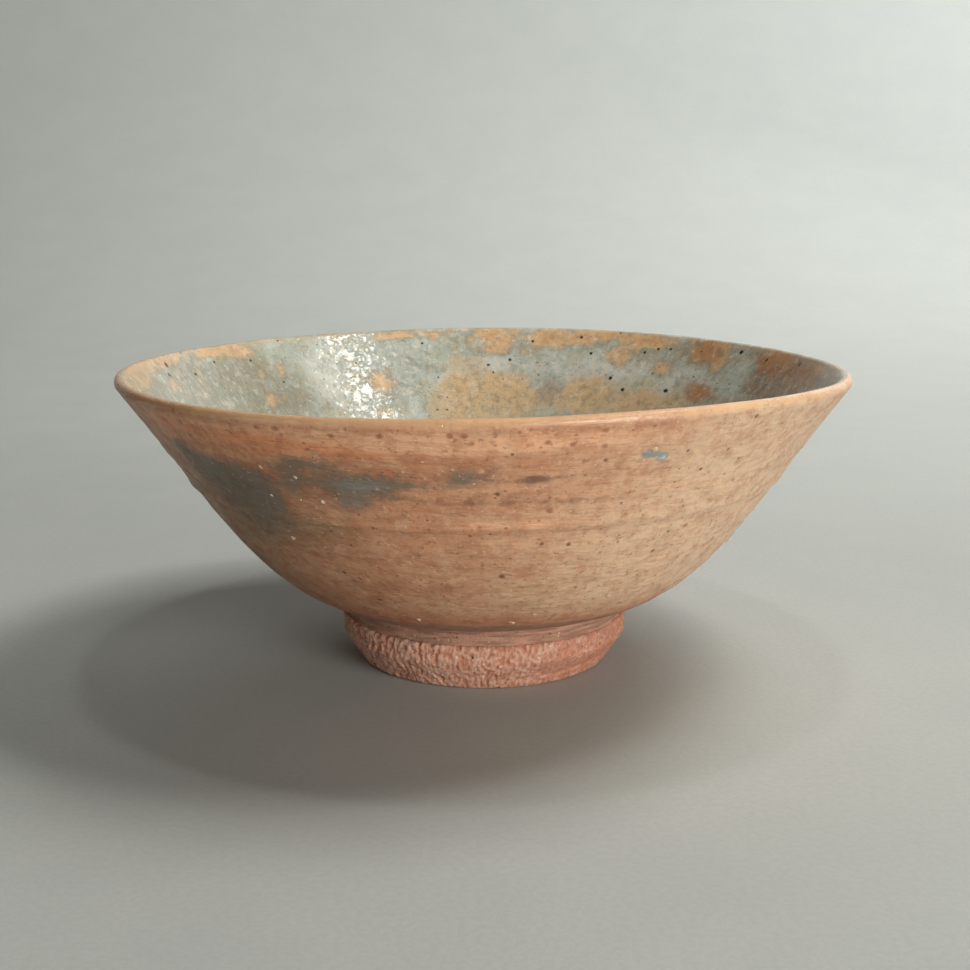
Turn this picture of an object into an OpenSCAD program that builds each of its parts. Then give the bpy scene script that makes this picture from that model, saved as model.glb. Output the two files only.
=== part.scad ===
// Hand-thrown stoneware tea bowl on a turned foot ring.
//
// The bowl stands upright: +Z is up, and the origin is the centre of the face it rests on.
// The clay is one fired mass that is made in two steps, a thrown wall and a foot ring, and it
// carries two coats of glaze, which meet at the crest of the lip. Every part is a turned shape,
// so each is an outline in the plane of radius and height that is revolved about +Z.

/* [Bowl] */
// Diameter across the lip
rim_d = 150.8; // [130:0.2:165]
// Height from the table to the crest of the lip
bowl_h = 62.6; // [58:0.2:70]
// Thickness of the lip over its glaze
lip_t = 2.4; // [2.2:0.1:4]
// Lean of the upper wall from the vertical, in degrees
wall_lean = 36; // [32:0.5:40]
// Extra lean of the inside of the wall, which thickens it downwards, in degrees
wall_taper = 1; // [0:0.25:2]
// Thickness of the floor at its centre
floor_t = 8; // [6:0.1:9]

/* [Foot] */
// Diameter of the foot ring at its upper edge
foot_top_d = 60.4; // [57:0.2:63]
// Diameter of the foot ring at the table
foot_base_d = 53; // [48:0.2:56]
// Height of the foot ring
foot_h = 10; // [9:0.1:11]
// Height at which the lean of the foot ring stops
foot_cheek_h = 6.3; // [5:0.1:8]
// Width of the foot ring at the table
foot_wall = 4.8; // [3.5:0.1:6]
// Depth of the hollow under the foot
recess_h = 6.5; // [4.5:0.1:7]
// How far the centre of the hollow swells downwards
recess_swell = 0.8; // [0:0.1:1.5]

/* [Glaze] */
// Thickness of the coat outside
outer_glaze_t = 0.4; // [0.2:0.05:0.6]
// Thickness of the coat inside
inner_glaze_t = 0.6; // [0.3:0.05:0.9]
// Height of the bare neck between the foot ring and the outer coat
bare_neck_h = 3.6; // [3:0.1:4]

/* [Throwing marks] */
// Depth of the grooves that the fingers left outside
groove_depth = 0.16; // [0:0.02:0.3]
// Width of one groove
groove_w = 2.2; // [1.5:0.1:3]

/* [Grains] */
// Radius of the largest stone grain in the clay
grain_r = 0.8; // [0.5:0.05:1]

/* [Hidden] */
$fn = 96;
curve_steps = 44;
lip_steps = 8;
foot_edge_r = 0.9;
foot_bevel = 0.5;
clay_red = [0.66, 0.42, 0.34];
clay_brown = [0.43, 0.31, 0.27];
glaze_orange = [0.71, 0.52, 0.37];
glaze_grey = [0.62, 0.65, 0.60];
grain_white = [0.80, 0.74, 0.66];

lip_r = lip_t / 2;
lip_centre = [rim_d / 2 - lip_r, bowl_h - lip_r];
neck_r = foot_top_d / 2 - foot_bevel;
boss_r = foot_base_d / 2 - foot_wall - 1;
floor_z = recess_h + floor_t;

// Along the upper wall, upwards, outside and inside.
wall_up = [sin(wall_lean), cos(wall_lean)];
bed_lean = wall_lean + wall_taper;
bed_up = [sin(bed_lean), cos(bed_lean)];

// Outside of the wall, from the glaze line to the lip: a low belly that runs into a straight cone.
glaze_line = [neck_r + 0.6, foot_h + bare_neck_h];
lip_outside = lip_centre + lip_r * [wall_up[1], -wall_up[0]];
outside = [glaze_line, glaze_line + [17.9, 3.3], lip_outside - 30.9 * wall_up, lip_outside];

// Inside of the wall, from the lip to the centre of the well.
lip_inside = lip_centre - lip_r * [wall_up[1], -wall_up[0]];
inside = [lip_inside, lip_inside - 37 * bed_up, [35, floor_z], [0, floor_z]];

// Each groove: its share of the way up the outside curve, and its share of groove_depth.
grooves = [[0.32, 0.5], [0.45, 0.6], [0.58, 0.8], [0.70, 1], [0.79, 0.9], [0.87, 0.7], [0.93, 0.5]];

// Each grain: its turn about the axis in degrees, its share of the way up the outside curve, and
// its share of grain_r.
grains = [
    [-127, 0.64, 0.8], [-124.5, 0.88, 0.9], [-119, 0.86, 0.7], [-120, 0.79, 0.7], [-116, 0.79, 0.8],
    [-126, 0.79, 0.6], [-107, 0.26, 0.8], [-83, 0.25, 0.9], [-78, 0.31, 1], [-66, 0.93, 1],
    [-61, 0.39, 0.8], [-20, 0.50, 0.7], [14, 0.72, 0.8], [61, 0.40, 0.7], [98, 0.60, 1],
    [143, 0.84, 0.7], [171, 0.52, 0.9]
];
grain_sink = 0.6;

// Point and direction of travel on a cubic Bezier curve.
function bezier(c, t) =
    pow(1 - t, 3) * c[0] + 3 * pow(1 - t, 2) * t * c[1]
    + 3 * (1 - t) * t * t * c[2] + pow(t, 3) * c[3];
function travel(c, t) =
    3 * pow(1 - t, 2) * (c[1] - c[0]) + 6 * (1 - t) * t * (c[2] - c[1])
    + 3 * t * t * (c[3] - c[2]);
function right_of(v) = [v[1], -v[0]] / norm(v);
function last(v) = v[len(v) - 1];
function reversed(v) = [for (i = [len(v) - 1:-1:0]) v[i]];
function arc(centre, r, from, to, steps) =
    [for (i = [0:steps]) let (a = from + (to - from) * i / steps) centre + r * [cos(a), sin(a)]];

// Depth of the grooves at share t of the outside curve. Each has a rounded, bell-shaped section.
outside_len = norm(outside[3] - outside[0]);
function groove_at(t) =
    groove_depth * max([for (g = grooves) g[1] * exp(-pow((t - g[0]) * outside_len / groove_w, 2))]);

// The outside curve moved inwards by d and grooved, and the inside curve moved into the clay by d.
function outside_face(d) =
    [for (i = [0:curve_steps])
        let (t = i / curve_steps)
        bezier(outside, t) - (d + groove_at(t)) * right_of(travel(outside, t))];
function inside_face(d) =
    [for (i = [0:curve_steps])
        let (t = i / curve_steps)
        bezier(inside, t) - d * right_of(travel(inside, t))];

// Both halves of the round lip. The coat thickens over it from the outside to the inside.
crest_t = (outer_glaze_t + inner_glaze_t) / 2;
function lip_half(from, to, cover_from, cover_to) =
    [for (i = [1:lip_steps])
        let (k = i / lip_steps, a = from + (to - from) * k)
        lip_centre + (lip_r - cover_from - (cover_to - cover_from) * k) * [cos(a), sin(a)]];
lip_out_face = lip_half(-wall_lean, 90, 0, 0);
lip_out_bed = lip_half(-wall_lean, 90, outer_glaze_t, crest_t);
lip_in_face = lip_half(90, 180 - wall_lean, 0, 0);
lip_in_bed = lip_half(90, 180 - wall_lean, crest_t, inner_glaze_t);

// Clay under the outer coat, then over the lip, then under the inner coat.
outer_bed = concat(outside_face(outer_glaze_t), lip_out_bed);
inner_bed = concat(lip_in_bed, [for (i = [1:curve_steps]) inside_face(inner_glaze_t)[i]]);
neck = [[neck_r, foot_h], [neck_r - 0.4, foot_h + 1.4], [neck_r - 0.1, foot_h + 3], outer_bed[0]];

module turned(outline) {
    rotate_extrude() polygon(outline);
}

// Round grains, each sunk through the coat into the clay, so that its top stands out of the wall.
module each_grain() {
    for (g = grains)
        let (
            r = grain_r * g[2],
            depth = groove_at(g[1]) + grain_sink * r,
            centre = bezier(outside, g[1]) - depth * right_of(travel(outside, g[1]))
        )
        rotate(g[0]) translate([centre[0], 0, centre[1]]) sphere(r);
}

// Thrown wall and floor. Its boss fills the top of the foot ring, and its neck is left bare.
module bowl_wall() {
    color(clay_brown) difference() {
        turned(concat(
            [for (i = [0:6]) [boss_r * i / 6, recess_h - recess_swell * pow(cos(15 * i), 2)]],
            [[boss_r, foot_h]],
            [for (i = [0:6]) bezier(neck, i / 6)],
            [for (i = [1:len(outer_bed) - 1]) outer_bed[i]],
            inner_bed
        ));
        each_grain();
    }
}

// Turned foot ring: the outside leans in below its cheek, and its upper edge is bevelled.
module foot_ring() {
    outer_edge = [foot_base_d / 2 - foot_edge_r, foot_edge_r];
    inner_edge = [foot_base_d / 2 - foot_wall + foot_edge_r, foot_edge_r];
    color(clay_red) turned(concat(
        arc(outer_edge, foot_edge_r, -90, -18, 6),
        [[foot_top_d / 2 - 0.1, foot_cheek_h], [foot_top_d / 2, foot_h - foot_bevel], [neck_r, foot_h]],
        [[boss_r, foot_h], [boss_r, recess_h]],
        arc(inner_edge, foot_edge_r, 190, 270, 6)
    ));
}

// Thin coat outside, from the glaze line to the crest of the lip.
module outer_glaze() {
    color(glaze_orange) difference() {
        turned(concat(outside_face(0), lip_out_face, reversed(outer_bed)));
        each_grain();
    }
}

// Thicker coat inside, from the crest of the lip to the bottom of the well.
module inner_glaze() {
    crest = [last(lip_out_bed), last(lip_out_face)];
    color(glaze_grey) turned(concat(
        crest,
        lip_in_face,
        [for (i = [1:curve_steps]) inside_face(0)[i]],
        reversed(inner_bed)
    ));
}

// Feldspar and quartz grains that stand a little proud of the outer coat.
module stone_grains() {
    color(grain_white) each_grain();
}

bowl_wall();
foot_ring();
outer_glaze();
inner_glaze();
stone_grains();
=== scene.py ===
import math
import bpy
import numpy as np
from itertools import product
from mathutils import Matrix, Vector


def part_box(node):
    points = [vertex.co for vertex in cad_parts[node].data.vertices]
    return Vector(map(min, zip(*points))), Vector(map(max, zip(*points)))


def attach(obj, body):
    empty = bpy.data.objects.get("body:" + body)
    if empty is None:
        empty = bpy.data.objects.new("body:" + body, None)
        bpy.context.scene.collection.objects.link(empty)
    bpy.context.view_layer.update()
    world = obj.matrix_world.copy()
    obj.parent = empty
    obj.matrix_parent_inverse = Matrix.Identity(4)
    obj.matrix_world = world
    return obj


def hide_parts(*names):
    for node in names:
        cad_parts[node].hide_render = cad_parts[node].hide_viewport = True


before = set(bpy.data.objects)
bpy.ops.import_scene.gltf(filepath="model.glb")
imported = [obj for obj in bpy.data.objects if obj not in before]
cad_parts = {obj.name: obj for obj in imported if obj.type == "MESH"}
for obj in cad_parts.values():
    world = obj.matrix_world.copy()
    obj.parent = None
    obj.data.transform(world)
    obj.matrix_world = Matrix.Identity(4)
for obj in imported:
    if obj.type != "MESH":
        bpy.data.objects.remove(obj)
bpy.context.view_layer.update()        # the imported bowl: its bodies, nodes and record
mm = 0.001


# what the frame says
coatLow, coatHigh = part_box("outer_glaze")
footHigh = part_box("foot_ring")[1]

rimR = coatHigh.x            # outer radius of the lip
rimZ = coatHigh.z            # crest of the lip
glazeZ = coatLow.z           # where the outer coat stops above the foot
footR = footHigh.x           # upper edge of the foot
footZ = footHigh.z           # top of the foot, where the bare neck starts


# small helpers for drawing and turning
def colour(hexCode):
    # sRGB hex to the linear values that the shader wants
    parts = [int(hexCode[i:i + 2], 16) / 255 for i in (1, 3, 5)]
    return [c / 12.92 if c <= 0.04045 else ((c + 0.055) / 1.055) ** 2.4 for c in parts] + [1.0]


def nothingSelected():
    if bpy.context.mode != "OBJECT":
        bpy.ops.object.mode_set(mode="OBJECT")
    bpy.ops.object.select_all(action="DESELECT")


def pick(piece):
    nothingSelected()
    piece.select_set(True)
    bpy.context.view_layer.objects.active = piece


def openMesh(piece, kind="VERT"):
    # edit mode with everything selected, or with nothing selected to pick faces
    pick(piece)
    bpy.ops.object.mode_set(mode="EDIT")
    bpy.ops.mesh.select_mode(type=kind)
    bpy.ops.mesh.select_all(action="SELECT" if kind == "VERT" else "DESELECT")


def arcRun(centre, radius, start, end, steps):
    # one Bezier run that follows a round arc, up to about a quarter turn
    reach = 4 / 3 * math.tan(math.radians(end - start) / 4) * radius
    a, b = math.radians(start), math.radians(end)
    first = Vector((centre[0] + radius * math.cos(a), centre[1] + radius * math.sin(a)))
    last = Vector((centre[0] + radius * math.cos(b), centre[1] + radius * math.sin(b)))
    firstHandle = first + reach * Vector((-math.sin(a), math.cos(a)))
    lastHandle = last - reach * Vector((-math.sin(b), math.cos(b)))
    return [first, firstHandle, lastHandle, last], steps


def straightRun(first, last, steps):
    first, last = Vector(first), Vector(last)
    return [first, first.lerp(last, 1 / 3), first.lerp(last, 2 / 3), last], steps


def drawOutline(name, runs):
    # half a section in the XZ plane, drawn as Bezier runs that meet end to end
    nothingSelected()
    bpy.ops.curve.primitive_bezier_curve_add(location=(0, 0, 0))
    drawn = bpy.context.object
    drawn.name = name
    drawn.data.splines.clear()
    drawn.data.dimensions = "3D"
    for corners, steps in runs:
        run = drawn.data.splines.new("BEZIER")
        run.bezier_points.add(1)
        run.resolution_u = steps
        spots = [Vector((c[0], 0, c[1])) for c in corners]
        for point, left, at, right in (
            (run.bezier_points[0], spots[0], spots[0], spots[1]),
            (run.bezier_points[1], spots[2], spots[3], spots[3]),
        ):
            point.handle_left_type = point.handle_right_type = "FREE"
            point.co = at
            point.handle_left = left
            point.handle_right = right
    bpy.ops.object.convert(target="MESH")
    return bpy.context.object


def turnOnWheel(drawn, steps):
    # turns the drawn section about the bowl's own axis, as the wheel does
    openMesh(drawn)
    bpy.ops.mesh.remove_doubles(threshold=0.005 * mm)
    pick(drawn)
    wheel = drawn.modifiers.new("wheel", "SCREW")
    wheel.axis = "Z"
    wheel.angle = 2 * math.pi
    wheel.steps = wheel.render_steps = steps
    bpy.ops.object.modifier_apply(modifier=wheel.name)
    openMesh(drawn)
    bpy.ops.mesh.remove_doubles(threshold=0.005 * mm)      # closes the pole on the axis
    bpy.ops.mesh.normals_make_consistent(inside=False)
    bpy.ops.object.mode_set(mode="OBJECT")
    bpy.ops.object.shade_smooth()
    return drawn


def readPoints(piece):
    flat = np.empty(len(piece.data.vertices) * 3)
    piece.data.vertices.foreach_get("co", flat)
    return flat.reshape(-1, 3)


def writePoints(piece, spots):
    piece.data.vertices.foreach_set("co", spots.ravel())
    piece.data.update()


def readNormals(piece):
    flat = np.empty(len(piece.data.vertices) * 3)
    piece.data.vertices.foreach_get("normal", flat)
    return flat.reshape(-1, 3)


def cloud(spots, size, seed=0, stretch=(1, 1, 1)):
    # soft lumps from about -1 to 1 and about size millimetres across, the same on every run
    scaled = spots / (np.array(stretch) * size * mm) + seed * np.array((7.31, 3.17, 5.73))
    cell = np.floor(scaled).astype(np.int64)
    part = scaled - cell
    ease = part ** 3 * (part * (part * 6 - 15) + 10)
    total = np.zeros(len(spots))
    for corner in product((0, 1), repeat=3):
        # every lattice point has its own slope, shuffled from its three whole numbers
        shuffled = (cell + corner) @ np.array((374761393, 668265263, 1274126177)) & 0xFFFFFFFF
        shuffled = (shuffled ^ shuffled >> 13) * 1103515245 & 0xFFFFFFFF
        shuffled = shuffled ^ shuffled >> 15
        slope = np.stack([shuffled & 1023, shuffled >> 10 & 1023, shuffled >> 20 & 1023], 1) / 511.5 - 1
        weight = np.prod(np.where(corner, ease, 1 - ease), axis=1)
        total += weight * ((part - corner) * slope).sum(1)
    return total * 1.25


def compass(spots):
    # turn about the axis in degrees: -90 is the front, 0 the right-hand side
    return np.degrees(np.arctan2(spots[:, 1], spots[:, 0]))


def turnGap(turns, at):
    return (turns - at + 180) % 360 - 180


# the hand of the potter: shared by every turned piece
wheelwork = {
    # lobes of the uneven lip: how many round the rim, how high in mm, where the top is in degrees
    "lipWave": [(1, 0.69, -69), (2, 0.42, -66), (3, 0.31, -53)],
    # lobes of the wall out of round: how many, how far in mm, where
    "outOfRound": [(2, 0.35, 20), (3, 0.22, 75), (5, 0.10, -30)],
    "settle": 0.30,          # mm of slow dents all over
    "settleSize": 32,        # mm across one dent
}


def handThrow(spots):
    # leans, lifts and dents the true turned shape. The foot stays flat on the table.
    turns = compass(spots)
    rise = np.clip((spots[:, 2] - glazeZ) / (rimZ - glazeZ), 0, 1)
    lift = sum(high * np.cos(np.radians(n * turnGap(turns, at))) for n, high, at in wheelwork["lipWave"])
    bulge = sum(far * np.cos(np.radians(n * turnGap(turns, at))) for n, far, at in wheelwork["outOfRound"])
    bulge = bulge + wheelwork["settle"] * cloud(spots, wheelwork["settleSize"], 1)
    radius = np.maximum(np.hypot(spots[:, 0], spots[:, 1]), 1e-9)
    moved = spots.copy()
    push = bulge * rise ** 1.2 * mm * np.clip(radius / (footR * 0.9), 0, 1)
    moved[:, 0] += spots[:, 0] / radius * push
    moved[:, 1] += spots[:, 1] / radius * push
    moved[:, 2] += lift * rise ** 1.5 * mm
    return moved


# the glazed skin: outside wall, lip and inside, thrown as one
glazed = {
    "wallLean": 36,          # degrees from upright, outside near the lip
    "wellLean": 37,          # the same inside
    "lipThick": 2.4,         # mm
    "bellyReach": (17.9, 3.3),   # mm, handle from the glaze line into the low belly
    "wallReach": 30.9,       # mm, handle down from the lip
    "wellReach": 37.0,       # mm, handle down the inside
    "wellRound": 35.0,       # mm, how far out the floor of the well stays level
    "floorZ": 14.5,          # mm, floor of the well over the table
    "round": 400,            # faces round the axis
    "coatThick": 0.4,        # mm outside
    "wellThick": 0.6,        # mm inside
}
lipR = glazed["lipThick"] / 2 * mm
lipCentre = Vector((rimR - lipR, rimZ - lipR))
lean = math.radians(glazed["wallLean"])
wellLean = math.radians(glazed["wellLean"])
wallUp = Vector((math.sin(lean), math.cos(lean)))
bedUp = Vector((math.sin(wellLean), math.cos(wellLean)))
acrossLip = Vector((math.cos(lean), -math.sin(lean)))
glazeStart = Vector((footR + 0.1 * mm, glazeZ))
lipOut = lipCentre + acrossLip * lipR
lipIn = lipCentre - acrossLip * lipR
wallRun = [glazeStart, glazeStart + Vector(glazed["bellyReach"]) * mm,
           lipOut - wallUp * glazed["wallReach"] * mm, lipOut]
wellRun = [lipIn, lipIn - bedUp * glazed["wellReach"] * mm,
           Vector((glazed["wellRound"] * mm, glazed["floorZ"] * mm)), Vector((0, glazed["floorZ"] * mm))]


def along(run, t):
    return ((1 - t) ** 3 * run[0] + 3 * (1 - t) ** 2 * t * run[1]
            + 3 * (1 - t) * t ** 2 * run[2] + t ** 3 * run[3])


def wallSpot(turn, height, inside=False):
    # the point of the outside or inside wall at a turn in degrees and a height in mm
    run = wellRun if inside else wallRun
    samples = [along(run, i / 400) for i in range(401)]
    nearest = min(samples, key=lambda s: abs(s[1] - height * mm))
    a = math.radians(turn)
    return Vector((nearest[0] * math.cos(a), nearest[0] * math.sin(a), nearest[1]))


def throwSkin():
    runs = [
        (wallRun, 96),
        arcRun(lipCentre, lipR, -glazed["wallLean"], 27, 6),
        arcRun(lipCentre, lipR, 27, 90, 6),
        arcRun(lipCentre, lipR, 90, 180 - glazed["wallLean"], 6),
        (wellRun, 96),
    ]
    skin = turnOnWheel(drawOutline("skin", runs), glazed["round"])
    crest = max(skin.data.polygons, key=lambda f: f.center.z)
    if crest.normal.z < 0:
        skin.data.flip_normals()
    return skin


# how far the skin's surface stands from the true turned curve, outside
fingerMarks = {
    # grooves left by the fingers: height in mm, depth in mm, half width in mm, climb in mm per turn
    "grooves": [(22, 0.07, 1.4, 2), (27, 0.08, 1.6, 2), (33, 0.10, 1.7, 2), (38.6, 0.16, 1.3, 3),
                (45.2, 0.14, 1.2, 3), (46.9, 0.20, 0.6, 2), (40.2, 0.16, 0.7, 2), (50.8, 0.14, 1.2, 2),
                (54.3, 0.08, 1.1, 2)],
    "ridge": (41.5, 0.34, 0.7, 2),     # the one raised line
    "waver": 0.5,                      # mm that a groove wanders up and down
    "grain": 0.035,                    # mm, fine turning lines
    "swells": [(3.2, 0.05, 8), (7, 0.06, 9)],      # size in mm, height in mm, seed
    "pits": (1.7, 0.24, 0.42),         # size in mm, depth in mm, how much of the coat has none
    "lumps": (2.6, 0.21, 0.45),        # the same, raised
}


def bell(distance, halfWidth):
    return np.exp(-(distance / halfWidth) ** 2)


def markWall(spots, outside):
    # distance in mm to move each point out along its normal
    turns, heights = compass(spots), spots[:, 2] / mm
    climb = (turns + 90) / 360
    deep = np.zeros(len(spots))
    waver = fingerMarks["waver"] * cloud(spots, 40, 4)
    fade = 0.65 + 0.5 * cloud(spots, 30, 5)
    for height, depth, halfWidth, rise in fingerMarks["grooves"]:
        deep -= depth * fade * bell(heights - height - rise * climb - waver, halfWidth)
    height, depth, halfWidth, rise = fingerMarks["ridge"]
    deep += depth * (0.75 + 0.4 * cloud(spots, 24, 6)) * bell(heights - height - rise * climb, halfWidth)
    deep += fingerMarks["grain"] * cloud(spots, 1.0, 7, (16, 16, 0.7))
    deep *= outside
    for size, high, seed in fingerMarks["swells"]:
        deep += high * cloud(spots, size, seed)
    size, depth, spared = fingerMarks["pits"]
    deep -= depth * np.clip(cloud(spots, size, 10) - spared, 0, 1)
    size, high, spared = fingerMarks["lumps"]
    return deep + high * np.clip(cloud(spots, size, 11) - spared, 0, 1)


def paint(piece, name, values):
    layer = piece.data.attributes.new(name, "FLOAT", "POINT")
    layer.data.foreach_set("value", values.astype(np.float32))


def dabs(turns, heights, radii, marks):
    # soft brush marks on the wall: turn in degrees, height, half width and half height in mm, strength
    total = np.zeros(len(turns))
    for turn, height, halfWidth, halfHeight, strength in marks:
        across = np.radians(turnGap(turns, turn)) * radii
        total += strength * np.exp(-(across / halfWidth) ** 2 - ((heights - height) / halfHeight) ** 2)
    return total


skin = throwSkin()
trueSpots = readPoints(skin)
turns, heights = compass(trueSpots), trueSpots[:, 2] / mm
radii = np.hypot(trueSpots[:, 0], trueSpots[:, 1]) / mm
lipAngle = np.degrees(np.arctan2(trueSpots[:, 2] - lipCentre[1], radii * mm - lipCentre[0]))
wallRadius = np.interp(trueSpots[:, 2], [along(wallRun, i / 50)[1] for i in range(51)],
                       [along(wallRun, i / 50)[0] for i in range(51)])
fadeFrom, fadeWide = 1.6 * mm, 1.2 * mm      # the marks of the outside fade out over the lip
outside = np.clip((radii * mm - wallRadius + fadeFrom) / fadeWide, 0, 1)
thrown = handThrow(trueSpots)
writePoints(skin, thrown)
deep = markWall(trueSpots, outside) * np.clip(radii / 12, 0, 1)
writePoints(skin, thrown + readNormals(skin) * (deep * mm)[:, None])
print("skin thrown:", len(trueSpots), "points")

# where the firing coloured the outside, with some painted highlight and shadow among the marks: turn,
# height, half width, half height, strength
firing = {
    "smoke": [(-116.5, 53.5, 6, 1.4, 1.1), (-111, 50.3, 7.5, 2.5, 1.25), (-105, 50.1, 4.5, 1.8, 0.9),
        (-119.6, 50.4, 2.6, 3.2, 0.9), (-110.6, 46.6, 4, 2.4, 0.9), (-99, 50.3, 6, 0.6, 0.9),
        (-93.3, 52, 2.8, 1.7, 1.35), (-129, 49.4, 9, 2.3, 0.95), (-136, 46.5, 10, 4.8, 0.95),
        (-127, 44.6, 6, 3.8, 0.85), (-139.5, 50.3, 6, 2.2, 0.95), (-143, 53, 4, 2, 0.9),
        (-134, 39.5, 9, 5, 0.7), (-89.6, 52.3, 2.6, 1.9, 0.35), (-82.8, 51.2, 2.2, 1, 0.45),
        (-115.9, 52.2, 1.5, 0.7, -0.8), (-121.6, 44.4, 1.6, 2, -0.6), (-136, 47.6, 2.5, 0.7, -0.6),
        (150, 47, 8, 3.4, 0.8), (84, 50, 6, 1.2, 0.7)],
    "smokeHeart": [(-108.5, 50, 5, 1.6, 1), (-110.6, 46.8, 3.2, 2, 0.8), (-127, 45, 6, 4, 0.5),
        (-138, 50, 6, 3, 0.6), (-119.6, 50.4, 1.6, 2.4, 0.5)],
    "blister": [(-66.6, 54.8, 1.8, 0.9, 1.1), (-64.2, 53.9, 1.3, 1, 0.9),
        (-60.3, 54.6, 0.7, 0.7, 0.6)],
    # blisterHighlight is a painted highlight: the white glint on top of the blister
    "blisterHighlight": [(-64.3, 53.9, 0.7, 0.9, 1.1)],
    "olive": [(-137, 43, 18, 9, 1.1), (-160, 40, 18, 14, 0.9), (-150, 24, 14, 8, 0.6),
        (-118, 39, 13, 5, 0.45), (150, 35, 26, 20, 0.5), (60, 28, 24, 12, 0.6)],
    "sand": [(-50, 38, 30, 24, 1), (-46, 58, 20, 6, 0.7), (-20, 40, 30, 26, 0.9),
        (15, 40, 34, 26, 0.7), (70, 30, 24, 18, 0.5), (-80, 26, 18, 12, 0.25)],
    # stain: dark marks and lines along the grooves, with a painted shadow under the raised ridge (the mark
    # at 40.2 mm)
    "darkMarksAndRidgeShadow": [(-83, 51.2, 4, 0.9, 0.9), (-94, 46.6, 8, 0.9, 0.5), (-74.5, 51.7, 7, 0.8, 0.55),
        (-90, 52.6, 3, 1.8, 0.6), (-86, 48.4, 12, 1, 0.5), (-62.5, 51.6, 3.5, 0.4, 0.7),
        (-80, 47, 14, 0.6, 0.35), (-103, 47.6, 8, 0.8, 0.5), (-70, 40.2, 22, 0.8, 0.42),
        (-76, 46.2, 16, 0.6, 0.45), (90, 43, 20, 0.8, 0.6), (110, 33, 16, 0.9, 0.5)],
    "ember": [(-140, 56.5, 14, 3.4, 1.1), (-124, 56.6, 10, 2.8, 1.1), (-110, 56.4, 10, 2.2, 0.7),
        (-104, 45.6, 8, 1.4, 0.5), (-88, 55.2, 16, 1, 0.4), (-122, 47, 3, 3, 0.4),
        (118, 50, 20, 7, 0.8), (40, 54, 16, 4, 0.7), (75, 38, 14, 3, 0.6)],
    # bloom: lighter orange along the lip, with a painted highlight along the raised ridge and the turning
    # lines at the front
    "bloomAndRidgeHighlight": [(-135, 58.6, 22, 2.2, 1), (-112, 58.6, 18, 2.2, 1), (-90, 58.2, 20, 2.6, 1),
        (-68, 58.6, 18, 2.4, 0.45), (-45, 45, 14, 6, 0.3), (-86, 42.2, 14, 1.2, 0.85),
        (-62, 48, 14, 1.4, 0.55), (-80, 47.8, 12, 0.9, 0.6), (100, 58.4, 30, 2.4, 0.9),
        (20, 58.4, 26, 2.4, 0.7)],
    "bareEdge": [(-90, 15, 24, 2.9, 1.4), (-48, 14.6, 10, 2.2, 1.2), (-132, 14.6, 10, 2.2, 1.2),
        (95, 14.8, 26, 2.6, 1.1)],
}
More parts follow.
